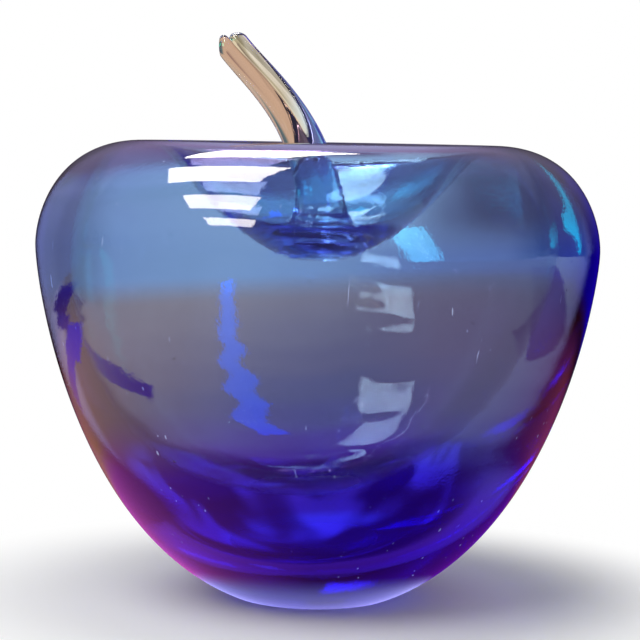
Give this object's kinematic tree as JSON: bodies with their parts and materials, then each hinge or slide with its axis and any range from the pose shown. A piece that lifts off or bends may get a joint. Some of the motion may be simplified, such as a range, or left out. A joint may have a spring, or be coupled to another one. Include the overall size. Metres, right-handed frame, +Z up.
{
  "type": "glass apple ornament",
  "caption": "Hollow blown glass apple with a dimpled top and a bent clear glass stem set in the dimple, a table ornament that stands on its ground flat base.",
  "frame": {"origin": "centre of the ground flat base, on the surface the apple stands on", "axes": "+Z up the body's axis; the stem bends towards -X; the pictured side faces -Y"},
  "size_m": [0.11, 0.11, 0.1107],
  "materials": {
    "cobalt_glass": "fire polished blue glass",
    "clear_glass": "fire polished clear glass with a faint warm tint"
  },
  "bodies": {
    "root": {"apple_body": "cobalt_glass", "stem": "clear_glass"}
  },
  "joints": []
}
